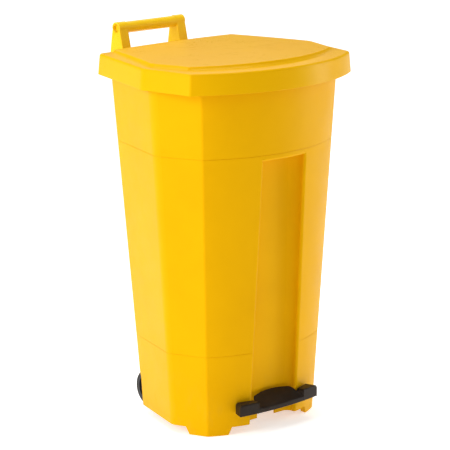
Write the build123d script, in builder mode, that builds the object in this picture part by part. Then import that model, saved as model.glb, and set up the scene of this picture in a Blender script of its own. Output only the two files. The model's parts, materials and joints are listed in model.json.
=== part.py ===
from build123d import *
from math import atan, cos, degrees, radians, sin, sqrt
import os

# Wheeled pedal bin, about 80 litres. Millimetres, +Z up, front towards -Y, +X to the right as
# seen from the front. The origin is the middle of the footprint, on the floor.

# ---------------------------------------------------------------- driving dimensions
REAR_Y = 165.95             # the lid's rear top edge; every depth is counted forward from it
WALL = 3.5                  # moulded walls of the body
LID_WALL = 3.0

# A plan section is: rear half-width, rear y, shoulder half-width, shoulder y,
# front corner half-width, front corner y, front tip y, rear, shoulder and corner radii.
SKIRT_Z = 17                # lower edge of the body's walls between the feet
SEAM_Z = 750                # level of the lid's lower edge
LOW_SECTION = (142.8, -70.8, 190.9, -232.0, 157.1, -307.3, -351.7, 22, 26, 10)
HIGH_SECTION = (177.8, -16.0, 242.1, -229.3, 194.7, -332.6, -390.0, 26, 40, 12)
FLOOR_Z = 104               # underside of the tub's floor
FLOOR_TOP = 108
RIM_Z = 788                 # top of the body, hidden inside the lid
RIM_LIP = 4                 # the rim's bead stands this far out
RIM_LIP_HEIGHT = 6
FOOT_BAND = 14              # width of the foot's ring
GROOVES = (178, 609)        # shallow lines moulded round the body
GROOVE_DEPTH = 0.5
GROOVE_HEIGHT = 1.6

LID_TOP_Z = 795
LID_SECTION = (191.4, 0.0, 253.3, -216.8, 228.8, -337.6, -409.9, 8, 40, 8)
LID_FLARE = 4.0             # the skirt's lower edge stands this far outside its upper edge
PANEL_SECTION = (174.0, -17.7, 235.6, -217.0, 207.5, -307.4, -372.9, 14, 34, 12)
PANEL_RISE = 6.6            # raised panel above the border, at its edge
PANEL_DRAFT = 35
CROWN_RADIUS = 7500
CROWN_RISE = 5.0            # further rise of the panel's middle

RECESS_TOP = 597            # foot recess in the front
RECESS_TOP_HALF = 59
RECESS_LOW_HALF = 65
RECESS_BACK_TOP = -345
RECESS_BACK_LOW = -321
RECESS_CORNER_LOW = 14      # radius of its inner corners at the bottom
RECESS_CORNER_TOP = 22
LIP_RADIUS = 5              # rounding of its mouth

CHANNEL_HALF = 15           # push-rod channel in the rear wall
CHANNEL_DEPTH = 10
PAD_HALF = 98               # flat pad that the handle is screwed to
PAD_BOTTOM = 688
PAD_TOP = 745
PAD_Y = -9

HINGE_Y = 9                 # lid hinge axis, behind the lid's rear edge
HINGE_Z = 768
HINGE_R = 3                 # hinge pin
KNUCKLE_R = 6
FIT = 0.04                  # radial clearance of the running fits
SNUG = 0.02                 # radial clearance of fixed pins and screws

HANDLE_OUT = 95             # outer faces of the handle's legs
LEG_WIDTH = 24
BAR_Y = 58.5
BAR_Z = 832
BAR_R = 12.5
LEG_TOP_R = 12.7

PIVOT_Y = -225              # lever pivot, under the floor
PIVOT_Z = 66
ROD_FOOT_Z = 65
ROD_OFFSET = 6.5            # rod axis outside the rear wall
ROD_R = 4
FINGER_ANGLE = 33           # crank finger below the horizontal, lid shut
ROD_TIP_Z = 749.6           # centre of the rod tip's dome
TIP_R = 5

AXLE_Y = -59
AXLE_R = 6
WHEEL_R = 42.5
WHEEL_IN = 84
WHEEL_OUT = 112

PEDAL_CENTRE_Y = 290.6      # the pedal's front is an arc about this point
PEDAL_R = 666
PEDAL_Z = 48.5
CLEAR_CENTRE_Y = -51.4      # its rear keeps outside an arc about this point, clear of the body
CLEAR_R = 307.5

os.makedirs("parts", exist_ok=True)


# ---------------------------------------------------------------- shared geometry
def back(depth):
    """y of a point given relative to the lid's rear edge (negative is forward)."""
    return REAR_Y + depth


def section(z):
    """The body's plan section at height z, on straight lines between the two given ones."""
    share = (z - SKIRT_Z) / (SEAM_Z - SKIRT_Z)
    return [low + (high - low) * share for low, high in zip(LOW_SECTION, HIGH_SECTION)]


def wall_y(z):
    """Outer surface of the body's rear wall at height z."""
    return back(section(z)[1])


def section_sketch(values, z, grow=0.0):
    """Shield-shaped outline at height z: straight back, sides widening to the shoulders, curved front."""
    rear, rear_y, side, side_y, corner, corner_y, tip_y, r_rear, r_side, r_corner = values
    with BuildSketch(Plane.XY.offset(z)) as outline:
        with BuildLine():
            FilletPolyline(
                (corner, back(corner_y)),
                (side, back(side_y)),
                (rear, back(rear_y)),
                (-rear, back(rear_y)),
                (-side, back(side_y)),
                (-corner, back(corner_y)),
                radius=[r_side, r_rear, r_rear, r_side],
            )
            ThreePointArc((-corner, back(corner_y)), (0, back(tip_y)), (corner, back(corner_y)))
        make_face()
        fillet(outline.vertices().group_by(Axis.Y)[0], r_corner)
        if grow:
            offset(amount=grow)
    return outline.sketch


def body_form(bottom, top, grow=0.0):
    """Solid between two heights, inside the body's outline moved out by grow."""
    with BuildPart() as form:
        for z in (bottom, top):
            add(section_sketch(section(z), z, grow))
        loft(ruled=True)
    return form.part


def recess_form(grow=0.0):
    """The foot recess, open to the front and to the floor."""
    front = back(-430)
    with BuildPart() as form:
        for z, half, rear, corner in (
            (-5, RECESS_LOW_HALF, RECESS_BACK_LOW, RECESS_CORNER_LOW),
            (RECESS_TOP + grow, RECESS_TOP_HALF, RECESS_BACK_TOP, RECESS_CORNER_TOP),
        ):
            deep = back(rear) + grow
            with BuildSketch(Plane.XY.offset(z)) as outline:
                with Locations((0, (front + deep) / 2)):
                    Rectangle(2 * (half + grow), deep - front)
                fillet(outline.vertices().group_by(Axis.Y)[-1], corner + grow)
        loft(ruled=True)
    return form.part


LEAN = degrees(atan((HIGH_SECTION[1] - LOW_SECTION[1]) / (SEAM_Z - SKIRT_Z)))


def wall_plane(z):
    """Plane on the rear wall: local x along X, local y out of the wall, local z up it."""
    return Plane(
        origin=(0, wall_y(z), z),
        x_dir=(1, 0, 0),
        z_dir=(0, sin(radians(LEAN)), cos(radians(LEAN))),
    )


def channel_form(grow=0.0):
    """Upright channel for the push rod, sunk into the rear wall and open behind it."""
    length = RIM_Z - FLOOR_TOP + 20
    depth = CHANNEL_DEPTH + grow + 30
    with BuildPart(wall_plane(FLOOR_TOP - 8 - grow)) as form:
        with Locations((0, 30 - depth / 2, length / 2)):
            Box(2 * (CHANNEL_HALF + grow), depth, length + 2 * grow)
    return form.part


def save(part, name):
    """Label a finished piece and write its file."""
    part.label = name
    export_step(part, "parts/" + name + ".step")
    print(name, round(part.volume), "mm3")


def rod_along_x(radius, x_from, x_to, y, z):
    """A round bar along X, as a private solid."""
    bar = Cylinder(radius, x_to - x_from, rotation=(0, 90, 0), mode=Mode.PRIVATE)
    return Pos((x_from + x_to) / 2, y, z) * bar


def screw(shank, length, head, head_height):
    """A slotted pan-head screw, seat at the origin and shank down -Z, as a private solid."""
    high = Align.MAX
    low = Align.MIN
    middle = Align.CENTER
    shaft = Cylinder(shank, length, align=(middle, middle, high), mode=Mode.PRIVATE)
    collar = Cylinder(head, head_height / 2, align=(middle, middle, low), mode=Mode.PRIVATE)
    crown = Cone(head, 0.7 * head, head_height / 2, align=(middle, middle, low), mode=Mode.PRIVATE)
    slot = Box(2.2 * head, 0.3 * head, head_height, align=(middle, middle, low), mode=Mode.PRIVATE)
    return shaft + collar + Pos(0, 0, head_height / 2) * crown - Pos(0, 0, 0.55 * head_height) * slot


REARWARD = Rot(-90, 0, 0)    # turns +Z to +Y
DOWNWARD = Rot(180, 0, 0)
UPWARD = (Align.CENTER, Align.CENTER, Align.MIN)     # standing on the point
HANGING = (Align.CENTER, Align.CENTER, Align.MAX)    # hanging below the point


# ---------------------------------------------------------------- body
# The body is the outer form less the tub, the hollow under the floor and the foot recess.
with BuildPart() as tub_hollow:
    add(body_form(FLOOR_TOP, RIM_Z + 2, -WALL))
    add(recess_form(WALL), mode=Mode.SUBTRACT)
    add(channel_form(WALL), mode=Mode.SUBTRACT)

with BuildPart() as under_hollow:
    add(body_form(-2, FLOOR_Z, -WALL))
    add(recess_form(WALL), mode=Mode.SUBTRACT)

with BuildPart() as foot_band:
    add(body_form(-3, 25, -1))
    add(body_form(-3, 25, -FOOT_BAND), mode=Mode.SUBTRACT)

FOOT_INNER_X = 108          # the feet end here beside the recess
FOOT_REAR_Y = -261          # and here on the side panels
FOOT_SLANT = 8              # each end leans in by this much towards the floor

with BuildPart() as foot_zone:
    with BuildSketch(Plane.XY.offset(SKIRT_Z)):
        with Locations((FOOT_INNER_X + 100, back(FOOT_REAR_Y) - 100)):
            Rectangle(200, 200)
    extrude(amount=8)
    for z, lean in ((SKIRT_Z, 0), (-3, FOOT_SLANT)):
        with BuildSketch(Plane.XY.offset(z)):
            with Locations((FOOT_INNER_X + lean + 100, back(FOOT_REAR_Y) - lean - 100)):
                Rectangle(200, 200)
    loft(ruled=True)
    mirror(about=Plane.YZ)

with BuildPart() as feet:
    add(foot_band.part)
    add(foot_zone.part, mode=Mode.INTERSECT)

with BuildPart() as skirt_trim:
    with Locations((0, 0, SKIRT_Z / 2 - 5)):
        Box(700, 700, SKIRT_Z + 10)
    add(foot_zone.part, mode=Mode.SUBTRACT)

ARCH_HALF = 76              # wheel arches are cut outside this
ARCH_Y = -82
ARCH_Z = 95

with BuildPart() as wheel_arch:
    with BuildSketch(Plane.YZ.offset(ARCH_HALF)) as arch:
        with Locations((back(ARCH_Y) + 100, ARCH_Z / 2 - 10)):
            Rectangle(200, ARCH_Z + 20)
        fillet(arch.vertices().group_by(Axis.X)[0].sort_by(Axis.Y)[-1], 14)
    extrude(amount=200)
    mirror(about=Plane.YZ)

AXLE_RIB_IN = 64
AXLE_RIB_WIDTH = 12
AXLE_RIB_PROFILE = ((-115, 105), (-64, 105), (-46, 62), (-46, 34), (-54, 28), (-72, 28), (-115, 80))
LEVER_SLOT = 26             # half-width of the lever's way through the recess wall
HANDLE_SCREW_X = (30, 55)
HANDLE_SCREW_Z = 712
HANDLE_SCREW_R = 3
HANDLE_PLATE = 5
GUIDE_HEIGHTS = (318, 636)
GUIDE_SCREW_X = 24
SMALL_SCREW_R = 2
BRACKET_SCREW_R = 3
BRACKET_SCREWS = [(x, back(PIVOT_Y) + y) for x in (-18, 18) for y in (-30, 30)]
GUIDE_SCREW_SPOTS = [
    wall_plane(height).location * Pos(side * GUIDE_SCREW_X, 0, 0)
    for height in GUIDE_HEIGHTS
    for side in (-1, 1)
]


def groove_ring(height):
    """Shallow line round the body at this height."""
    with BuildPart() as ring:
        add(section_sketch(section(height), height, 5))
        extrude(amount=GROOVE_HEIGHT)
        add(section_sketch(section(height), height, -GROOVE_DEPTH))
        extrude(amount=GROOVE_HEIGHT, mode=Mode.SUBTRACT)
    return ring.part


def on_recess_mouth(edge):
    """True for the long edges where the foot recess meets the front."""
    box = edge.bounding_box()
    ahead = edge.center().Y < back(-352)
    narrow = box.max.X - box.min.X < 2 * RECESS_TOP_HALF + 2
    inside = box.max.X < RECESS_LOW_HALF + 1 and box.min.X > -RECESS_LOW_HALF - 1
    return ahead and narrow and inside and edge.length > RECESS_TOP_HALF


with BuildPart() as body_tub:
    add(body_form(-1, RIM_Z))
    with BuildSketch(Plane.XY.offset(RIM_Z - RIM_LIP_HEIGHT)):
        add(section_sketch(section(RIM_Z), 0, RIM_LIP))
        with Locations((0, back(20))):
            Rectangle(700, 160, mode=Mode.SUBTRACT)
    extrude(amount=RIM_LIP_HEIGHT)
    with Locations((0, back(PAD_Y) - 15, (PAD_BOTTOM + PAD_TOP) / 2)):
        Box(2 * PAD_HALF, 30, PAD_TOP - PAD_BOTTOM)
    add(tub_hollow.part, mode=Mode.SUBTRACT)
    add(under_hollow.part, mode=Mode.SUBTRACT)
    with Locations([spot * Pos(0, -6.5, 0) for spot in GUIDE_SCREW_SPOTS]):
        Cylinder(8, 10, rotation=(90, 0, 0))
    add(recess_form(), mode=Mode.SUBTRACT)
    fillet(body_tub.edges().filter_by(on_recess_mouth), LIP_RADIUS)
    add(channel_form(), mode=Mode.SUBTRACT)
    add(skirt_trim.part, mode=Mode.SUBTRACT)
    add(wheel_arch.part, mode=Mode.SUBTRACT)
    add(feet.part)
    with Locations((0, 0, -5)):
        Box(700, 700, 10, mode=Mode.SUBTRACT)
    for spot in GUIDE_SCREW_SPOTS:
        with Locations(spot * Pos(0, -2.5, 0)):
            Cylinder(SMALL_SCREW_R + SNUG, 10, rotation=(90, 0, 0), mode=Mode.SUBTRACT)
    for height in GROOVES:
        add(groove_ring(height), mode=Mode.SUBTRACT)
    # ways through the recess wall and the rear wall for the pedal lever
    with Locations((0, back(RECESS_BACK_LOW) - 5, 22)):
        Box(2 * LEVER_SLOT, 40, 80, mode=Mode.SUBTRACT)
    with Locations((0, back(LOW_SECTION[1]), FLOOR_Z / 2 - 5)):
        Box(40, 40, FLOOR_Z + 10, mode=Mode.SUBTRACT)
    # two ribs carry the axle
    with BuildSketch(Plane.YZ.offset(AXLE_RIB_IN)):
        with BuildLine():
            Polyline(*[(back(y), z) for y, z in AXLE_RIB_PROFILE], close=True)
        make_face()
    rib = extrude(amount=AXLE_RIB_WIDTH)
    mirror(rib, about=Plane.YZ)
    add(rod_along_x(AXLE_R + SNUG, -100, 100, back(AXLE_Y), WHEEL_R), mode=Mode.SUBTRACT)
    # blind holes for the handle screws, blind bosses for the bracket screws
    for x in HANDLE_SCREW_X:
        with Locations([Pos(side * x, back(PAD_Y) - 6, HANDLE_SCREW_Z) for side in (-1, 1)]):
            Cylinder(HANDLE_SCREW_R + SNUG, 12.4, rotation=(90, 0, 0), mode=Mode.SUBTRACT)
    with Locations([Pos(x, y, FLOOR_TOP + 3) for x, y in BRACKET_SCREWS]):
        Cylinder(7, 8)
        Cylinder(BRACKET_SCREW_R + SNUG, 14, align=HANGING, mode=Mode.SUBTRACT)

save(body_tub.part, "body_tub")

# ---------------------------------------------------------------- lid
CROWN_TOP = LID_TOP_Z + PANEL_RISE + CROWN_RISE
LID_EDGE_R = 6
PANEL_EDGE_R = 5
KNUCKLE_X = (34, 60)
CRANK_HALF = 12
CRANK_FACE_Y = -4           # the crank lies on a boss inside the rear skirt
CRANK_T = 3
CRANK_SCREW_X = 7
CRANK_SCREW_Z = 784
NOTCH_HALF = 15
NOTCH_TOP = 776


def panel_form(bottom, inset):
    """The raised, slightly crowned panel of the lid, shrunk by inset."""
    with BuildPart() as form:
        add(section_sketch(PANEL_SECTION, bottom, -inset))
        extrude(amount=CROWN_TOP - bottom, taper=PANEL_DRAFT)
        with Locations((0, back(-190), CROWN_TOP - inset - CROWN_RADIUS)):
            Sphere(CROWN_RADIUS, mode=Mode.INTERSECT)
    return form.part


with BuildPart() as lid_hollow:
    add(section_sketch(LID_SECTION, SEAM_Z - 1, LID_FLARE - LID_WALL))
    add(section_sketch(LID_SECTION, LID_TOP_Z - LID_WALL, -LID_WALL))
    loft(ruled=True)
    add(panel_form(LID_TOP_Z - LID_WALL - 0.5, LID_WALL))

with BuildPart() as lid_panel:
    add(panel_form(LID_TOP_Z - 1, 0))
    fillet(lid_panel.faces().sort_by(Axis.Z)[-1].edges(), PANEL_EDGE_R)

with BuildPart() as lid_shell:
    add(section_sketch(LID_SECTION, SEAM_Z, LID_FLARE))
    add(section_sketch(LID_SECTION, LID_TOP_Z))
    loft(ruled=True)
    fillet(lid_shell.edges().group_by(Axis.Z)[-1], LID_EDGE_R)
    add(lid_panel.part)
    add(lid_hollow.part, mode=Mode.SUBTRACT)
    # hinge knuckles
    for side in (-1, 1):
        middle = side * sum(KNUCKLE_X) / 2
        width = KNUCKLE_X[1] - KNUCKLE_X[0]
        with Locations((middle, back(HINGE_Y), HINGE_Z)):
            Cylinder(KNUCKLE_R, width, rotation=(0, 90, 0))
        with Locations((middle, back(0.5 + HINGE_Y) - HINGE_Y / 2, HINGE_Z)):
            Box(width, HINGE_Y, 2 * KNUCKLE_R)
    add(rod_along_x(HINGE_R + FIT, -80, 80, back(HINGE_Y), HINGE_Z), mode=Mode.SUBTRACT)
    # notch that the crank works through, and the boss that it is screwed to
    with Locations((0, back(2), NOTCH_TOP - 20)):
        Box(2 * NOTCH_HALF, 18, 40, mode=Mode.SUBTRACT)
    with Locations((0, back(-2.25), (NOTCH_TOP + LID_TOP_Z - LID_WALL) / 2)):
        Box(2 * NOTCH_HALF - 2, 3.5, LID_TOP_Z - LID_WALL - NOTCH_TOP)
    with Locations([(x, back(-2), CRANK_SCREW_Z) for x in (-CRANK_SCREW_X, CRANK_SCREW_X)]):
        Cylinder(SMALL_SCREW_R + SNUG, 4.4, rotation=(90, 0, 0), mode=Mode.SUBTRACT)

save(lid_shell.part, "lid_shell")

FINGER_PLANE = Plane(
    origin=(0, back(HINGE_Y), HINGE_Z),
    x_dir=(1, 0, 0),
    z_dir=(0, sin(radians(FINGER_ANGLE)), -cos(radians(FINGER_ANGLE))),
)
FINGER_FROM = 13
FINGER_TO = 28

with BuildPart() as lid_crank:
    plate_y = back(CRANK_FACE_Y) - CRANK_T / 2
    with Locations((0, plate_y, 775.5)):
        Box(2 * CRANK_HALF, CRANK_T, 31)
    tab = Box(2 * CRANK_HALF, FINGER_TO - FINGER_FROM, CRANK_T, mode=Mode.PRIVATE)
    add(FINGER_PLANE.location * Pos(0, (FINGER_FROM + FINGER_TO) / 2, -CRANK_T / 2) * tab)
    with Locations([(x, plate_y, CRANK_SCREW_Z) for x in (-CRANK_SCREW_X, CRANK_SCREW_X)]):
        Cylinder(SMALL_SCREW_R + SNUG, 10, rotation=(90, 0, 0), mode=Mode.SUBTRACT)

save(lid_crank.part, "lid_crank")

CRANK_SCREW_LENGTH = 6.8
with BuildPart() as crank_screws:
    for x in (-CRANK_SCREW_X, CRANK_SCREW_X):
        seat = Pos(x, back(CRANK_FACE_Y) - CRANK_T, CRANK_SCREW_Z)
        add(seat * Rot(90, 0, 0) * screw(SMALL_SCREW_R, CRANK_SCREW_LENGTH, 3.6, 2.4))

save(crank_screws.part, "crank_screws")


def front_arc_y(values, x):
    """y of a section's curved front at x."""
    half, corner_y, tip_y = values[4], values[5], values[6]
    bulge = corner_y - tip_y
    radius = (half**2 + bulge**2) / (2 * bulge)
    return back(tip_y) + radius - sqrt(radius**2 - x**2)


BUFFER_GAP = 0.3
BUFFER_R = 4
with BuildPart() as lid_buffers:
    height = LID_TOP_Z - LID_WALL - RIM_Z - BUFFER_GAP
    for x, y in ((120, front_arc_y(section(RIM_Z), 120)), (140, wall_y(RIM_Z) - WALL / 2)):
        with Locations([(side * x, y, RIM_Z + BUFFER_GAP) for side in (-1, 1)]):
            Cylinder(BUFFER_R, height, align=(Align.CENTER, Align.CENTER, Align.MIN))

save(lid_buffers.part, "lid_buffers")

# ---------------------------------------------------------------- handle and hinge pin
LEG_TOP_Z = 833
LEG_PROFILE = (
    (-6, 690),
    (-6, 744.5),
    (28, 744.5),
    (37, 793),
    (46.5, 832),
    (70.5, 832),
    (77, 793),
    (82, 745),
    (62, 716),
    (14, 690),
)
POCKET_PROFILE = ((3, 680), (3, 738), (32.5, 738), (42, 793), (51, 818), (95, 818), (95, 680))
EAR_X = ((24, 32), (62, 70))
DIMPLE_R = 9.5              # hollow in each end of the grip

with BuildPart() as rear_handle:
    with BuildSketch(Plane.YZ.offset(HANDLE_OUT - LEG_WIDTH)):
        with BuildLine():
            Polyline(*[(back(y), z) for y, z in LEG_PROFILE], close=True)
        make_face()
        with Locations((back(BAR_Y), LEG_TOP_Z)):
            Circle(LEG_TOP_R)
    extrude(amount=LEG_WIDTH)
    with BuildSketch(Plane.YZ.offset(HANDLE_OUT - LEG_WIDTH + 4)):
        with BuildLine():
            Polyline(*[(back(y), z) for y, z in POCKET_PROFILE], close=True)
        make_face()
    extrude(amount=LEG_WIDTH - 8, mode=Mode.SUBTRACT)
    with Locations([(HANDLE_OUT - LEG_WIDTH / 2, back(57), z) for z in (762, 792)]):
        Box(LEG_WIDTH - 7, 30, 3)
    mirror(about=Plane.YZ)
    with Locations((0, back(BAR_Y), BAR_Z)):
        Cylinder(BAR_R, 2 * (HANDLE_OUT - LEG_WIDTH) + 8, rotation=(0, 90, 0))
    add(rod_along_x(DIMPLE_R, HANDLE_OUT - 7, 120, back(BAR_Y), BAR_Z), mode=Mode.SUBTRACT)
    add(rod_along_x(DIMPLE_R, -120, 7 - HANDLE_OUT, back(BAR_Y), BAR_Z), mode=Mode.SUBTRACT)
    with Locations((0, back(PAD_Y) + HANDLE_PLATE / 2, 717)):
        Box(2 * PAD_HALF, HANDLE_PLATE, 55)
    with Locations((0, back(3.5), 740)):
        Box(2 * (HANDLE_OUT - LEG_WIDTH) + 6, 25, 9)
    for side in (-1, 1):
        for inner, outer in EAR_X:
            middle = side * (inner + outer) / 2
            with Locations((middle, back(HINGE_Y), HINGE_Z)):
                Cylinder(KNUCKLE_R, outer - inner, rotation=(0, 90, 0))
            with Locations((middle, back(10.25), (740 + HINGE_Z) / 2)):
                Box(outer - inner, 9.5, HINGE_Z - 740)
    add(rod_along_x(HINGE_R + SNUG, -80, 80, back(HINGE_Y), HINGE_Z), mode=Mode.SUBTRACT)
    with Locations((0, back(PAD_Y) + 5, 720)):
        Box(26, 10, 70, mode=Mode.SUBTRACT)
    with Locations([(side * x, back(PAD_Y), HANDLE_SCREW_Z) for side in (-1, 1) for x in HANDLE_SCREW_X]):
        Cylinder(HANDLE_SCREW_R + SNUG, 20, rotation=(90, 0, 0), mode=Mode.SUBTRACT)

save(rear_handle.part, "rear_handle")

with BuildPart() as handle_screws:
    for x in HANDLE_SCREW_X:
        seat = Pos(x, back(PAD_Y) + HANDLE_PLATE, HANDLE_SCREW_Z)
        add(seat * REARWARD * screw(HANDLE_SCREW_R, 16.5, 5.5, 4))
    mirror(about=Plane.YZ)

save(handle_screws.part, "handle_screws")

with BuildPart() as hinge_pin:
    add(rod_along_x(HINGE_R, -76, 76, back(HINGE_Y), HINGE_Z))

save(hinge_pin.part, "hinge_pin")

with BuildPart() as hinge_pin_caps:
    add(rod_along_x(5, 70.4, 78.5, back(HINGE_Y), HINGE_Z))
    add(rod_along_x(HINGE_R + SNUG, 60, 76.1, back(HINGE_Y), HINGE_Z), mode=Mode.SUBTRACT)
    mirror(about=Plane.YZ)

save(hinge_pin_caps.part, "hinge_pin_caps")

# ---------------------------------------------------------------- push rod
# The rod stands parallel to the rear wall; its frame starts at the clevis pin.
FOOT = wall_plane(ROD_FOOT_Z).location * Pos(0, ROD_OFFSET, 0)
ROD_PLANE = Plane(FOOT)
ROD_TIP_AT = (ROD_TIP_Z - FOOT.position.Z) / cos(radians(LEAN))
CLEVIS_SLOT = 6.4
CLEVIS_HALF = 10.4
CLEVIS_R = 9
CLEVIS_PIN_R = 4
BRIDGE_FROM = 16
BRIDGE_TO = 28

with BuildPart(ROD_PLANE) as push_rod:
    with Locations((0, 0, BRIDGE_FROM + 1)):
        Cylinder(ROD_R, ROD_TIP_AT - 5 - BRIDGE_FROM - 1, align=UPWARD)

save(push_rod.part, "push_rod")

with BuildPart(ROD_PLANE) as rod_tip:
    with Locations((0, 0, ROD_TIP_AT - 15)):
        Cylinder(TIP_R, 15, align=UPWARD)
        Cylinder(ROD_R + SNUG, 10.1, align=UPWARD, mode=Mode.SUBTRACT)
    with Locations((0, 0, ROD_TIP_AT)):
        Sphere(TIP_R)

save(rod_tip.part, "rod_tip")

with BuildPart(ROD_PLANE) as rod_clevis:
    Cylinder(CLEVIS_R, 2 * CLEVIS_HALF, rotation=(0, 90, 0))
    Box(2 * CLEVIS_HALF, 2 * CLEVIS_R, BRIDGE_TO, align=UPWARD)
    with Locations((0, 0, BRIDGE_FROM)):
        Box(2 * CLEVIS_SLOT, 3 * CLEVIS_R, 50, align=HANGING, mode=Mode.SUBTRACT)
    Cylinder(CLEVIS_PIN_R + SNUG, 30, rotation=(0, 90, 0), mode=Mode.SUBTRACT)
    with Locations((0, 0, 20)):
        Cylinder(ROD_R + SNUG, 30, mode=Mode.SUBTRACT)

save(rod_clevis.part, "rod_clevis")

with BuildPart(ROD_PLANE) as rod_lock_nut:
    with BuildSketch(ROD_PLANE.offset(BRIDGE_TO)):
        RegularPolygon(7.4, 6)
        Circle(ROD_R + SNUG, mode=Mode.SUBTRACT)
    extrude(amount=6)

save(rod_lock_nut.part, "rod_lock_nut")

CLIP_FROM = 10.5
with BuildPart(ROD_PLANE) as clevis_pin:
    with Locations((1.75, 0, 0)):
        Cylinder(CLEVIS_PIN_R, 24.5, rotation=(0, 90, 0))
    with Locations((-CLIP_FROM - 1.2, 0, 0)):
        Cylinder(6, 2.4, rotation=(0, 90, 0))

save(clevis_pin.part, "clevis_pin")

with BuildPart(ROD_PLANE) as clevis_clip:
    with Locations((CLIP_FROM + 0.7, 0, 0)):
        Cylinder(6.5, 1.4, rotation=(0, 90, 0))
        Cylinder(CLEVIS_PIN_R + SNUG, 3, rotation=(0, 90, 0), mode=Mode.SUBTRACT)
    with Locations((CLIP_FROM + 0.7, 0, -6)):
        Box(3, 5, 8, mode=Mode.SUBTRACT)

save(clevis_clip.part, "clevis_clip")

GUIDE_HALF_HEIGHT = 8
GUIDE_BORE = 6
GUIDE_PLAY = 2.5            # the rod's foot swings in by this much, so the bore is longer front to back

with BuildPart() as guide_form:
    with Locations((0, 2.25, 0)):
        Box(2 * CHANNEL_HALF - 0.8, 23.5, 2 * GUIDE_HALF_HEIGHT)
    with Locations((0, 2, 0)):
        Box(64, 4, 2 * GUIDE_HALF_HEIGHT)
    with BuildSketch(Plane.XY.offset(-GUIDE_HALF_HEIGHT)):
        with Locations((0, ROD_OFFSET - GUIDE_PLAY / 2)):
            SlotCenterToCenter(GUIDE_PLAY, 2 * GUIDE_BORE, rotation=90)
    extrude(amount=2 * GUIDE_HALF_HEIGHT, mode=Mode.SUBTRACT)
    with Locations([(side * GUIDE_SCREW_X, 2, 0) for side in (-1, 1)]):
        Cylinder(SMALL_SCREW_R + SNUG, 6, rotation=(90, 0, 0), mode=Mode.SUBTRACT)

with BuildPart() as rod_guides:
    for height in GUIDE_HEIGHTS:
        add(wall_plane(height).location * guide_form.part)

save(rod_guides.part, "rod_guides")

with BuildPart() as guide_screws:
    for spot in GUIDE_SCREW_SPOTS:
        add(spot * Pos(0, 4, 0) * REARWARD * screw(SMALL_SCREW_R, 11, 3.8, 2.6))

save(guide_screws.part, "guide_screws")

# ---------------------------------------------------------------- pedal lever and its bracket
HUB_R = 11
HUB_HALF = 22
BUSH_R = 7
PIN_R = 5
CHEEK_IN = 25
CHEEK_T = 3
EYE_HALF = 6
EYE_R = 10
LEVER_HALF = 15
LEVER_TOP = 57
LEVER_T = 5
PEDAL_SCREW_Y = (-342, -356)
PEDAL_SCREW_R = 2.5
FRONT_ARM = (
    (-364, LEVER_TOP - LEVER_T),
    (-364, LEVER_TOP),
    (-312, LEVER_TOP),
    (-232, PIVOT_Z + 7),
    (-225, PIVOT_Z + 2),
    (-225, PIVOT_Z - 6),
    (-310, LEVER_TOP - LEVER_T),
)
REAR_ARM_Z = (PIVOT_Z - 8, PIVOT_Z + 8)

with BuildPart() as pedal_lever:
    with BuildSketch(Plane.YZ):
        with BuildLine():
            Polyline(*[(back(y), z) for y, z in FRONT_ARM], close=True)
        make_face()
    extrude(amount=LEVER_HALF, both=True)
    eye_y = FOOT.position.Y
    eye_z = FOOT.position.Z
    with BuildSketch(Plane.YZ):
        with BuildLine():
            Polyline(
                (back(PIVOT_Y), REAR_ARM_Z[0]),
                (back(PIVOT_Y), REAR_ARM_Z[1]),
                (eye_y, eye_z + 6),
                (eye_y, eye_z - 6),
                close=True,
            )
        make_face()
    extrude(amount=EYE_HALF, both=True)
    add(rod_along_x(HUB_R, -HUB_HALF, HUB_HALF, back(PIVOT_Y), PIVOT_Z))
    add(rod_along_x(EYE_R, -EYE_HALF, EYE_HALF, eye_y, eye_z))
    add(rod_along_x(BUSH_R + SNUG, -30, 30, back(PIVOT_Y), PIVOT_Z), mode=Mode.SUBTRACT)
    add(rod_along_x(CLEVIS_PIN_R + 0.05, -30, 30, eye_y, eye_z), mode=Mode.SUBTRACT)
    with Locations([Pos(0, back(y), LEVER_TOP) for y in PEDAL_SCREW_Y]):
        Cylinder(PEDAL_SCREW_R + SNUG, 30, mode=Mode.SUBTRACT)

save(pedal_lever.part, "pedal_lever")

with BuildPart() as lever_bushes:
    add(rod_along_x(BUSH_R, 8, HUB_HALF + 0.1, back(PIVOT_Y), PIVOT_Z))
    add(rod_along_x(HUB_R, HUB_HALF + 0.1, HUB_HALF + 2.1, back(PIVOT_Y), PIVOT_Z))
    add(rod_along_x(PIN_R + 0.05, 0, 30, back(PIVOT_Y), PIVOT_Z), mode=Mode.SUBTRACT)
    mirror(about=Plane.YZ)

save(lever_bushes.part, "lever_bushes")

BRACKET_LENGTH = 84
with BuildPart() as pivot_bracket:
    with Locations((0, back(PIVOT_Y), FLOOR_Z - CHEEK_T / 2)):
        Box(2 * (CHEEK_IN + CHEEK_T), BRACKET_LENGTH, CHEEK_T)
    with BuildSketch(Plane.YZ.offset(CHEEK_IN)):
        with BuildLine():
            Polyline(
                (back(PIVOT_Y) - 30, FLOOR_Z - 1),
                (back(PIVOT_Y) + 30, FLOOR_Z - 1),
                (back(PIVOT_Y) + 11.5, PIVOT_Z - 4),
                (back(PIVOT_Y) - 11.5, PIVOT_Z - 4),
                close=True,
            )
        make_face()
        with Locations((back(PIVOT_Y), PIVOT_Z)):
            Circle(12)
    cheek = extrude(amount=CHEEK_T)
    mirror(cheek, about=Plane.YZ)
    add(rod_along_x(PIN_R + SNUG, -40, 40, back(PIVOT_Y), PIVOT_Z), mode=Mode.SUBTRACT)
    with Locations([Pos(x, y, FLOOR_Z) for x, y in BRACKET_SCREWS]):
        Cylinder(BRACKET_SCREW_R + SNUG, 10, mode=Mode.SUBTRACT)

save(pivot_bracket.part, "pivot_bracket")

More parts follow.
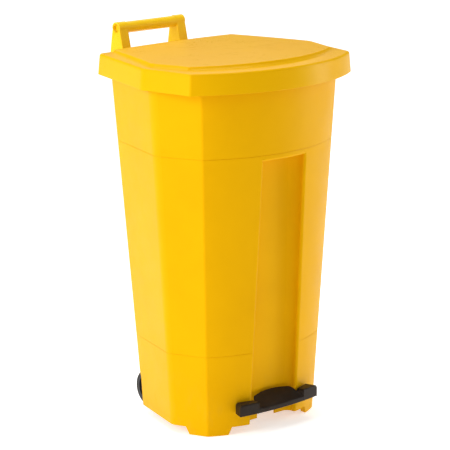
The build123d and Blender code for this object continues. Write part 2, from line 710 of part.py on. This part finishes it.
with BuildPart() as bracket_screws:
    for x, y in BRACKET_SCREWS:
        add(Pos(x, y, FLOOR_Z - CHEEK_T) * DOWNWARD * screw(BRACKET_SCREW_R, 9.5, 5, 3))

save(bracket_screws.part, "bracket_screws")

PIN_SEAT = CHEEK_IN + CHEEK_T + 0.1
with BuildPart() as pivot_pin:
    add(rod_along_x(PIN_R, -PIN_SEAT, PIN_SEAT + 4, back(PIVOT_Y), PIVOT_Z))
    add(rod_along_x(8, -PIN_SEAT - 3, -PIN_SEAT, back(PIVOT_Y), PIVOT_Z))

save(pivot_pin.part, "pivot_pin")

with BuildPart() as pivot_clip:
    add(rod_along_x(8.5, PIN_SEAT, PIN_SEAT + 1.6, back(PIVOT_Y), PIVOT_Z))
    add(rod_along_x(PIN_R + SNUG, PIN_SEAT - 1, PIN_SEAT + 3, back(PIVOT_Y), PIVOT_Z), mode=Mode.SUBTRACT)
    with Locations((PIN_SEAT, back(PIVOT_Y), PIVOT_Z - 8)):
        Box(8, 6, 10, mode=Mode.SUBTRACT)

save(pivot_clip.part, "pivot_clip")

# ---------------------------------------------------------------- pedal
# Profiles are (distance from the centre of the pedal's front arc, height).
EAR_IN = 66                 # the two raised ends reach from here
EAR_OUT = 115
EAR_TOP = 73.5
EAR_WALL = 4
TREAD_HALF = 70
TREAD_NARROW = 60
TREAD_SWEEP = 7
TREAD_REAR_Y = -334
TREAD_CORNER_Y = -342
TREAD_TOP = ((PEDAL_R, PEDAL_Z), (PEDAL_R, 57), (663.5, 59.5), (622, 83.5))
TREAD_UNDER = ((622, 79.5), (659, 58.1), (662.5, 54.5), (662.5, PEDAL_Z))
PEDAL_AXIS = Axis((0, back(PEDAL_CENTRE_Y), 0), (0, 0, 1))
PEDAL_PLANE = Plane(origin=(0, back(PEDAL_CENTRE_Y), 0), x_dir=(0, -1, 0), z_dir=(-1, 0, 0))
PEDAL_SCREW_LENGTH = 9.8


def swept(profile, degrees_each_way):
    """A profile turned about the pedal's centre line, the same each way."""
    with BuildPart() as turned:
        with BuildSketch(PEDAL_PLANE):
            with BuildLine():
                Polyline(*profile, close=True)
            make_face()
        revolve(axis=PEDAL_AXIS, revolution_arc=degrees_each_way)
        mirror(about=Plane.YZ)
    return turned.part


def pedal_front_point(x, inset=0.0):
    """Point of the pedal's front arc at x."""
    return (x, back(PEDAL_CENTRE_Y) - sqrt((PEDAL_R - inset) ** 2 - x**2))


def pedal_rear_point(x, inset=0.0):
    """Point of the arc that the pedal keeps outside, at x."""
    return (x, back(CLEAR_CENTRE_Y) - sqrt((CLEAR_R + inset) ** 2 - x**2))


def ear_plan(z, inset):
    """Plan of the pedal's +X end, shrunk by inset."""
    inner = EAR_IN + inset
    outer = EAR_OUT - inset
    rear_outer = outer * CLEAR_R / 334
    with BuildSketch(Plane.XY.offset(z)) as plan:
        with BuildLine():
            ThreePointArc(*[pedal_front_point(x, inset) for x in (inner, (inner + outer) / 2, outer)])
            Line(pedal_front_point(outer, inset), pedal_rear_point(rear_outer, inset))
            ThreePointArc(
                *[pedal_rear_point(x, inset) for x in (rear_outer, (inner + rear_outer) / 2, inner)]
            )
            Line(pedal_rear_point(inner, inset), pedal_front_point(inner, inset))
        make_face()
    return plan.sketch


# plan of the tread: wide in front of the body, narrower inside the foot recess
with BuildPart() as tread_zone:
    with BuildSketch() as tread_plan:
        with BuildLine():
            ThreePointArc(
                (-TREAD_NARROW, back(TREAD_CORNER_Y)),
                (0, back(TREAD_REAR_Y)),
                (TREAD_NARROW, back(TREAD_CORNER_Y)),
            )
            Polyline(
                (TREAD_NARROW, back(TREAD_CORNER_Y)),
                (TREAD_NARROW, back(-400)),
                (-TREAD_NARROW, back(-400)),
                (-TREAD_NARROW, back(TREAD_CORNER_Y)),
            )
        make_face()
        fillet(tread_plan.vertices().group_by(Axis.Y)[-1], 14)
    extrude(amount=120)
    with BuildSketch():
        with Locations((0, back(-350))):
            Rectangle(2 * TREAD_HALF, 100)
        with Locations((0, back(CLEAR_CENTRE_Y))):
            Circle(CLEAR_R, mode=Mode.SUBTRACT)
    extrude(amount=120)

# one raised end, hollow from below
with BuildPart() as pedal_ear:
    add(ear_plan(PEDAL_Z, 0))
    extrude(amount=EAR_TOP - PEDAL_Z)
    fillet(pedal_ear.faces().sort_by(Axis.Z)[-1].edges().sort_by(Axis.X)[-1], 8)
    front_edges = pedal_ear.faces().sort_by(Axis.Y)[0].edges()
    raised = [edge for edge in front_edges if edge.center().Z > PEDAL_Z + 1]
    fillet([edge for edge in raised if edge.center().X > EAR_IN + 1], 3.5)
    add(ear_plan(PEDAL_Z - 1, EAR_WALL))
    extrude(amount=EAR_TOP - EAR_WALL - PEDAL_Z + 1, mode=Mode.SUBTRACT)

with BuildPart() as pedal_ribs:
    for x in (24, TREAD_HALF - 2):
        with Locations([(side * x, back(-360), 70) for side in (-1, 1)]):
            Box(4, 60, 60)
    with Locations([Pos(0, back(y), LEVER_TOP) for y in PEDAL_SCREW_Y]):
        Cylinder(6, 60, align=UPWARD)
    add(swept((*TREAD_TOP, (622, PEDAL_Z)), TREAD_SWEEP), mode=Mode.INTERSECT)
    add(tread_zone.part, mode=Mode.INTERSECT)

with BuildPart() as pedal:
    add(swept((*TREAD_TOP, *TREAD_UNDER), TREAD_SWEEP))
    add(tread_zone.part, mode=Mode.INTERSECT)
    add(pedal_ear.part)
    add(mirror(pedal_ear.part, about=Plane.YZ, mode=Mode.PRIVATE))
    add(pedal_ribs.part)
    with Locations([Pos(0, back(y), LEVER_TOP - LEVER_T + PEDAL_SCREW_LENGTH + 0.2) for y in PEDAL_SCREW_Y]):
        Cylinder(PEDAL_SCREW_R + SNUG, 20, align=HANGING, mode=Mode.SUBTRACT)

save(pedal.part, "pedal")

with BuildPart() as pedal_screws:
    for y in PEDAL_SCREW_Y:
        seat = Pos(0, back(y), LEVER_TOP - LEVER_T)
        add(seat * DOWNWARD * screw(PEDAL_SCREW_R, PEDAL_SCREW_LENGTH, 4.5, 3))

save(pedal_screws.part, "pedal_screws")

# ---------------------------------------------------------------- wheels
HUB_RIM_R = 34
WHEEL_BORE = AXLE_R + 0.05
BOSS_FROM = 80
BOSS_TO = 113
WEB_FROM = 95
WEB_T = 7
TREAD_ROUND = 5


def wheel_hub_form():
    """Wheel centre on the +X side: rim, web with six openings and a long boss."""
    y = back(AXLE_Y)
    with BuildPart() as form:
        add(rod_along_x(HUB_RIM_R, WHEEL_IN, WHEEL_OUT, y, WHEEL_R))
        add(rod_along_x(HUB_RIM_R - 4, WHEEL_IN - 1, WEB_FROM, y, WHEEL_R), mode=Mode.SUBTRACT)
        add(rod_along_x(HUB_RIM_R - 4, WEB_FROM + WEB_T, WHEEL_OUT + 1, y, WHEEL_R), mode=Mode.SUBTRACT)
        with Locations(Plane((WEB_FROM, y, WHEEL_R), z_dir=(1, 0, 0))):
            with PolarLocations(20, 6):
                Cylinder(5.5, 30, mode=Mode.SUBTRACT)
        add(rod_along_x(11, BOSS_FROM, BOSS_TO, y, WHEEL_R))
        add(rod_along_x(WHEEL_BORE, BOSS_FROM - 1, BOSS_TO + 1, y, WHEEL_R), mode=Mode.SUBTRACT)
    return form.part


def tyre_form():
    """Tyre on the +X side, with rounded shoulders and a groove round the middle."""
    y = back(AXLE_Y)
    with BuildPart() as form:
        add(rod_along_x(WHEEL_R, WHEEL_IN, WHEEL_OUT, y, WHEEL_R))
        fillet(form.edges(), TREAD_ROUND)
        middle = (WHEEL_IN + WHEEL_OUT) / 2
        add(rod_along_x(WHEEL_R + 1, middle - 1, middle + 1, y, WHEEL_R), mode=Mode.SUBTRACT)
        add(rod_along_x(WHEEL_R - 1.5, middle - 1.5, middle + 1.5, y, WHEEL_R))
        add(rod_along_x(HUB_RIM_R, WHEEL_IN - 1, WHEEL_OUT + 1, y, WHEEL_R), mode=Mode.SUBTRACT)
    return form.part


with BuildPart() as wheel_hub_right:
    add(wheel_hub_form())

save(wheel_hub_right.part, "wheel_hub_right")

with BuildPart() as wheel_hub_left:
    add(mirror(wheel_hub_form(), about=Plane.YZ, mode=Mode.PRIVATE))

save(wheel_hub_left.part, "wheel_hub_left")

with BuildPart() as tyre_right:
    add(tyre_form())

save(tyre_right.part, "tyre_right")

with BuildPart() as tyre_left:
    add(mirror(tyre_form(), about=Plane.YZ, mode=Mode.PRIVATE))

save(tyre_left.part, "tyre_left")

AXLE_END = 119
with BuildPart() as wheel_axle:
    add(rod_along_x(AXLE_R, -AXLE_END, AXLE_END, back(AXLE_Y), WHEEL_R))

save(wheel_axle.part, "wheel_axle")

with BuildPart() as axle_washers:
    add(rod_along_x(11, AXLE_RIB_IN + AXLE_RIB_WIDTH, BOSS_FROM - 0.4, back(AXLE_Y), WHEEL_R))
    add(rod_along_x(AXLE_R + SNUG, AXLE_RIB_IN, BOSS_FROM, back(AXLE_Y), WHEEL_R), mode=Mode.SUBTRACT)
    mirror(about=Plane.YZ)

save(axle_washers.part, "axle_washers")

with BuildPart() as axle_caps:
    add(rod_along_x(9, BOSS_TO + 0.4, AXLE_END + 2, back(AXLE_Y), WHEEL_R))
    fillet(axle_caps.edges().sort_by(Axis.X)[-1], 1.5)
    add(rod_along_x(AXLE_R + SNUG, BOSS_TO, AXLE_END + 0.1, back(AXLE_Y), WHEEL_R), mode=Mode.SUBTRACT)
    mirror(about=Plane.YZ)

save(axle_caps.part, "axle_caps")
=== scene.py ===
import json
import math

import bmesh
import bpy
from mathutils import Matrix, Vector


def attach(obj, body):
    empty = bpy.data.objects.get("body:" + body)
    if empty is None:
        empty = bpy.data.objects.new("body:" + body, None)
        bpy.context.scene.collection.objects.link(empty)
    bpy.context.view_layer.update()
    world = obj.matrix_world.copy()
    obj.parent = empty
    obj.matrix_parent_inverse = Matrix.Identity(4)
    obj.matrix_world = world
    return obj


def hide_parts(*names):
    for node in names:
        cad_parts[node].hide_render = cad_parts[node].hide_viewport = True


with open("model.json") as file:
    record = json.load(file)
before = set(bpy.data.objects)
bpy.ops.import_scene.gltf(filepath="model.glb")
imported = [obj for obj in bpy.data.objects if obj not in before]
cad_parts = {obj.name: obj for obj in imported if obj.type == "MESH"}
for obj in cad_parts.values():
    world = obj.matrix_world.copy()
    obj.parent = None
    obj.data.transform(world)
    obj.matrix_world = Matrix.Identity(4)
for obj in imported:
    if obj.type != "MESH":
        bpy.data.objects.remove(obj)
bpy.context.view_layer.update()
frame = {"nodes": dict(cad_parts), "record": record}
NODES = frame["nodes"]
BODY_OF = {n: b for b, group in frame["record"]["behaviour"]["bodies"].items() for n in group}
MM = 0.001


# ------------------------------------------------------------ materials
# Texture scales are in features per metre, bump distances in metres.
MOST_NOISE = (0.3, 0.7)  # a noise texture lies mostly between these
PLASTIC_IOR = 1.49
SCUFF_HEIGHT = 0.16     # scuffs fade out at this height above the floor


class Shader:
    """A material's node tree, built a node at a time."""

    def __init__(self, name):
        self.material = bpy.data.materials.new(name)
        self.material.use_nodes = True
        self.tree = self.material.node_tree
        self.bsdf = self.tree.nodes["Principled BSDF"]
        self.coords = self.tree.nodes.new("ShaderNodeTexCoord").outputs["Object"]

    def node(self, kind, inputs=None, **settings):
        made = self.tree.nodes.new(kind)
        for key, value in settings.items():
            setattr(made, key, value)
        for key, value in (inputs or {}).items():
            if isinstance(value, bpy.types.NodeSocket):
                self.tree.links.new(value, made.inputs[key])
            else:
                made.inputs[key].default_value = value
        return made

    def link(self, source, key):
        self.tree.links.new(source, self.bsdf.inputs[key])

    def stretched(self, scale):
        return self.node("ShaderNodeMapping", {"Vector": self.coords, "Scale": scale}).outputs["Vector"]

    def noise(self, scale, detail=2.0, rough=0.5, vector=None):
        made = self.node(
            "ShaderNodeTexNoise",
            {"Vector": vector or self.coords, "Scale": scale, "Detail": detail, "Roughness": rough},
        )
        return made.outputs["Fac"]

    def spread(self, value, low, high, to_low, to_high):
        made = self.node(
            "ShaderNodeMapRange",
            {"Value": value, "From Min": low, "From Max": high, "To Min": to_low, "To Max": to_high},
        )
        return made.outputs["Result"]

    def mix(self, factor, first, second):
        made = self.node("ShaderNodeMix", {"Factor": factor}, data_type="RGBA")
        for socket, value in ((made.inputs[6], first), (made.inputs[7], second)):
            if isinstance(value, bpy.types.NodeSocket):
                self.tree.links.new(value, socket)
            else:
                socket.default_value = (*value, 1)
        return made.outputs[2]

    def math(self, operation, first, second):
        return self.node("ShaderNodeMath", {0: first, 1: second}, operation=operation).outputs[0]

    def bumps(self, *layers):
        """Each layer is (height, strength, distance in metres)."""
        normal = None
        for height, strength, distance in layers:
            inputs = {"Height": height, "Strength": strength, "Distance": distance}
            if normal is not None:
                inputs["Normal"] = normal
            normal = self.node("ShaderNodeBump", inputs).outputs["Normal"]
        self.link(normal, "Normal")

    def height_above_floor(self):
        return self.node("ShaderNodeSeparateXYZ", {0: self.coords}).outputs["Z"]


def moulded_plastic(
    name,
    light,
    dark,
    rough=(0.3, 0.42),
    grain=(900, 0.10),
    scuffs=0.25,
    specular=0.5,
    tint=(1, 1, 1),
    wave=0.12,
):
    """Moulded plastic: cloudy pigment, fine spark-eroded grain, faint flow waves, scuffs near the floor.

    rough is the range of roughness, and grain is its scale and strength.
    """
    s = Shader(name)
    cloud = s.spread(s.noise(7, 4, 0.55), *MOST_NOISE, 0, 1)
    colour = s.mix(cloud, light, dark)
    low = s.spread(s.height_above_floor(), 0.0, SCUFF_HEIGHT, scuffs, 0)
    streak = s.spread(s.noise(60, 6, 0.7, s.stretched((1, 1, 0.35))), 0.52, 0.7, 0, 1)
    worn = s.math("MULTIPLY", low, streak)
    dust = tuple(0.75 * c + 0.05 for c in dark)
    s.link(s.mix(worn, colour, dust), "Base Color")
    patch = s.spread(s.noise(24, 5, 0.6), *MOST_NOISE, rough[0], rough[1])
    fine = s.spread(s.noise(420, 2, 0.5), 0.35, 0.65, -0.03, 0.03)
    s.link(s.math("ADD", s.math("ADD", patch, fine), worn), "Roughness")
    s.bsdf.inputs["Specular IOR Level"].default_value = specular
    s.bsdf.inputs["Specular Tint"].default_value = (*tint, 1)
    s.bsdf.inputs["IOR"].default_value = PLASTIC_IOR
    s.bumps(
        (s.noise(grain[0], 3, 0.55), grain[1], 0.0006),
        (s.noise(9, 1, 0.4), wave, 0.004),
    )
    return s.material


def metal(name, colour, rough, stretch, scale, tarnish=0.15):
    """Zinc-plated or drawn steel: streaks along the working direction, dull patches and fine pits."""
    s = Shader(name)
    streaks = s.noise(scale, 6, 0.65, s.stretched(stretch))
    cloud = s.spread(s.noise(35, 5, 0.6), 0.4, 0.7, 0, tarnish)
    dull = tuple(0.6 * c for c in colour)
    s.link(s.mix(cloud, s.mix(s.spread(streaks, *MOST_NOISE, 0, 0.35), colour, dull), dull), "Base Color")
    s.link(s.math("ADD", s.spread(streaks, *MOST_NOISE, rough, rough + 0.2), cloud), "Roughness")
    s.bsdf.inputs["Metallic"].default_value = 1.0
    s.bumps((streaks, 0.08, 0.0003), (s.noise(1400, 2, 0.5), 0.05, 0.0002))
    return s.material


def rubber(name, colour, worn):
    """Rubber: matt, slightly grey with patches of floor dust, coarse grain."""
    s = Shader(name)
    dusty = s.spread(s.noise(55, 6, 0.65), 0.45, 0.75, 0, 0.7)
    s.link(s.mix(dusty, colour, worn), "Base Color")
    s.link(s.spread(s.noise(240, 4, 0.6), *MOST_NOISE, 0.55, 0.8), "Roughness")
    s.bumps((s.noise(700, 4, 0.6), 0.35, 0.0006), (s.noise(90, 3, 0.5), 0.15, 0.001))
    return s.material


YELLOW = (0.80, 0.415, 0.001)
YELLOW_DARK = (0.76, 0.385, 0.0008)
YELLOW_GLOSS = 0.06
YELLOW_SHEEN = (1.0, 0.85, 0.25)
LOOKS = {
    "yellow_body": moulded_plastic(
        "body_yellow", YELLOW, YELLOW_DARK, specular=YELLOW_GLOSS, tint=YELLOW_SHEEN
    ),
    # the lid's yellow is lighter than the body's: painted light, standing for the light that falls on its top
    "yellow_lid": moulded_plastic(
        "lid_yellow",
        (0.81, 0.44, 0.001),
        YELLOW,
        rough=(0.29, 0.32),
        grain=(900, 0.008),
        scuffs=0,
        specular=0.1,
        tint=YELLOW_SHEEN,
        wave=0.02,
    ),
    # the handle's yellow is lighter and paler than the body's: painted light, standing for the light that
    # falls on it
    "yellow_handle": moulded_plastic(
        "handle_yellow",
        (0.88, 0.56, 0.012),
        (0.84, 0.5, 0.006),
        rough=(0.22, 0.34),
        grain=(900, 0.05),
        scuffs=0,
        specular=0.3,
        tint=YELLOW_SHEEN,
    ),
    "black_pedal": moulded_plastic(
        "pedal_black",
        (0.024, 0.015, 0.009),
        (0.016, 0.010, 0.006),
        rough=(0.3, 0.44),
        grain=(700, 0.12),
        scuffs=0.3,
        specular=0.16,
    ),
    "zinc_plate": metal("zinc_plate", (0.62, 0.62, 0.6), 0.3, (1, 1, 1), 120, 0.3),
    "screw_steel": metal("screw_steel", (0.66, 0.66, 0.65), 0.22, (1, 1, 1), 300),
    "buffer_rubber": rubber("buffer_rubber", (0.02, 0.02, 0.02), (0.06, 0.06, 0.058)),
    "pin_steel": metal("pin_steel", (0.6, 0.61, 0.62), 0.2, (1, 1, 0.04), 260),
    "black_small": moulded_plastic(
        "nylon_black", (0.03, 0.03, 0.031), (0.02, 0.02, 0.021), rough=(0.4, 0.55)
    ),
    "guide_plastic": moulded_plastic(
        "guide_black", (0.035, 0.035, 0.036), (0.022, 0.022, 0.023), rough=(0.42, 0.58)
    ),
    "lever_steel": metal("lever_steel", (0.58, 0.585, 0.58), 0.3, (1, 0.05, 1), 220, 0.35),
    "bush_plastic": moulded_plastic(
        "nylon_natural", (0.62, 0.6, 0.54), (0.55, 0.53, 0.47), rough=(0.4, 0.55)
    ),
    "hub_plastic": moulded_plastic(
        "hub_black", (0.03, 0.03, 0.032), (0.02, 0.02, 0.022), rough=(0.4, 0.55)
    ),
    "tyre_rubber": rubber("tyre_rubber", (0.018, 0.018, 0.018), (0.075, 0.072, 0.068)),
    "axle_steel": metal("axle_steel", (0.6, 0.61, 0.62), 0.22, (0.04, 1, 1), 260),
}
SLOT_OF = {s["node"]: s["material_slot"] for s in frame["record"]["subparts"]}
for name, node in NODES.items():
    node.data.materials.clear()
    node.data.materials.append(LOOKS[SLOT_OF[name]])


# ------------------------------------------------------------ rounded mouldings
ROUND_ABOVE = 35        # outer edges that turn by more degrees than this are rounded
SMOOTH_BELOW = 36       # edges that turn by fewer degrees than this are shaded smooth
ROUND_STEPS = 3
ROUND_WIDTH = 0.9 * MM
WELD = 0.01 * MM        # corners closer than this are one
LID_SHORTEST = 6 * MM
OTHERS_SHORTEST = 4 * MM


def rounded(name, shortest):
    """A copy of a CAD node that stands for it, with its sharp outer edges rounded if longer than shortest."""
    source = NODES[name]
    mesh = source.data.copy()
    mesh.name = name + "_rounded"
    piece = bpy.data.objects.new(name + "_rounded", mesh)
    bpy.context.scene.collection.objects.link(piece)
    piece.matrix_world = source.matrix_world.copy()
    work = bmesh.new()
    work.from_mesh(mesh)
    bmesh.ops.remove_doubles(work, verts=work.verts, dist=WELD)
    weights = work.edges.layers.float.new("bevel_weight_edge")
    for edge in work.edges:
        turned = edge.calc_face_angle_signed(0)
        if turned > math.radians(ROUND_ABOVE) and edge.calc_length() > shortest:
            edge[weights] = 1
    work.to_mesh(mesh)
    work.free()
    bevel = piece.modifiers.new("rounding", "BEVEL")
    bevel.width = ROUND_WIDTH
    bevel.segments = ROUND_STEPS
    bevel.limit_method = "WEIGHT"
    bevel.use_clamp_overlap = False
    evaluated = piece.evaluated_get(bpy.context.evaluated_depsgraph_get())
    made = bpy.data.meshes.new_from_object(evaluated)
    piece.modifiers.clear()
    piece.data = made
    for polygon in made.polygons:
        polygon.use_smooth = True
    made.set_sharp_from_angle(angle=math.radians(SMOOTH_BELOW))
    weighted = piece.modifiers.new("flat_faces", "WEIGHTED_NORMAL")
    weighted.keep_sharp = True
    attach(piece, BODY_OF[name])
    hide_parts(name)


rounded("lid_shell", LID_SHORTEST)
rounded("rear_handle", OTHERS_SHORTEST)
rounded("pedal", OTHERS_SHORTEST)


# ------------------------------------------------------------ studio
def area_light(name, position, aim, size, power):
    """A rectangular soft box of this size in metres and power in watts, facing aim."""
    lamp = bpy.data.lights.new(name, "AREA")
    lamp.shape = "RECTANGLE"
    lamp.size, lamp.size_y = size
    lamp.energy = power
    holder = bpy.data.objects.new(name, lamp)
    holder.location = position
    holder.rotation_euler = (Vector(aim) - Vector(position)).to_track_quat("-Z", "Y").to_euler()
    bpy.context.scene.collection.objects.link(holder)


AMBIENT = 0.32          # the backdrop as a light, where the camera sees 1
AMBIENT_GLOSS = 0.1     # and in reflections
FLOOR_SIZE = 60
FLOOR_DROP = 0.0005     # the floor lies this far below the feet
FLOOR_GLOW = 0.5        # evens out the floor to white
BIN_MIDDLE = (0, 0, 0.42)
FAR_FLOOR = (4.5, 5.0, 0)


def studio():
    """White backdrop and floor, three soft boxes round the bin and one over the floor behind it."""
    scene = bpy.context.scene
    scene.view_settings.view_transform = "Standard"
    world = bpy.data.worlds.new("studio")
    scene.world = world
    world.use_nodes = True
    tree = world.node_tree
    sky = tree.nodes["Background"]
    sky.inputs["Color"].default_value = (1, 1, 1, 1)
    # the backdrop is white to the camera, and dimmer as a light and in reflections
    path = tree.nodes.new("ShaderNodeLightPath")
    lit = tree.nodes.new("ShaderNodeMapRange")
    lit.inputs["To Min"].default_value = AMBIENT
    lit.inputs["To Max"].default_value = AMBIENT_GLOSS
    seen = tree.nodes.new("ShaderNodeMath")
    seen.operation = "MAXIMUM"
    tree.links.new(path.outputs["Is Glossy Ray"], lit.inputs["Value"])
    tree.links.new(path.outputs["Is Camera Ray"], seen.inputs[0])
    tree.links.new(lit.outputs["Result"], seen.inputs[1])
    tree.links.new(seen.outputs[0], sky.inputs["Strength"])
    bpy.ops.mesh.primitive_plane_add(size=FLOOR_SIZE, location=(0, 0, -FLOOR_DROP))
    floor = bpy.context.object
    floor.name = "studio_floor"
    s = Shader("pale_floor")
    cloud = s.spread(s.noise(2, 2, 0.5), *MOST_NOISE, 0, 1)
    s.link(s.mix(cloud, (0.93, 0.93, 0.93), (0.91, 0.91, 0.91)), "Base Color")
    s.bsdf.inputs["Roughness"].default_value = 0.9
    s.bsdf.inputs["Specular IOR Level"].default_value = 0.0
    s.bsdf.inputs["Emission Color"].default_value = (1, 1, 1, 1)
    s.bsdf.inputs["Emission Strength"].default_value = FLOOR_GLOW
    floor.data.materials.append(s.material)
    area_light("left_softbox", (-3.3, 0.35, 1.6), BIN_MIDDLE, (1.8, 2.4), 84)
    area_light("right_softbox", (3.0, -1.6, 1.1), BIN_MIDDLE, (1.0, 2.2), 42)
    area_light("top_softbox", (0.2, 0.6, 3.6), BIN_MIDDLE, (3, 3), 84)
    area_light("floor_behind", (4.5, 5.0, 3.5), FAR_FLOOR, (5, 5), 90)


CAMERA_AZIMUTH = math.radians(-42.4)
CAMERA_ELEVATION = math.radians(13.49)
CAMERA_DISTANCE = 4.936
CAMERA_AIM = Vector((0, -0.0369, 0.4054))
SENSOR_WIDTH = 36
FOCAL_LENGTH = 181.86


def camera():
    """A long lens, to the front left of the bin and a little above it."""
    eye = bpy.data.cameras.new("camera")
    eye.sensor_width = SENSOR_WIDTH
    eye.lens = FOCAL_LENGTH
    eye.shift_x = -0.0086
    eye.shift_y = 0.0164
    eye.clip_end = 100
    holder = bpy.data.objects.new("camera", eye)
    away = Vector((
        math.sin(CAMERA_AZIMUTH) * math.cos(CAMERA_ELEVATION),
        -math.cos(CAMERA_AZIMUTH) * math.cos(CAMERA_ELEVATION),
        math.sin(CAMERA_ELEVATION),
    ))
    holder.location = CAMERA_AIM + CAMERA_DISTANCE * away
    holder.rotation_euler = (-away).to_track_quat("-Z", "Y").to_euler()
    bpy.context.scene.collection.objects.link(holder)
    bpy.context.scene.camera = holder


studio()
camera()
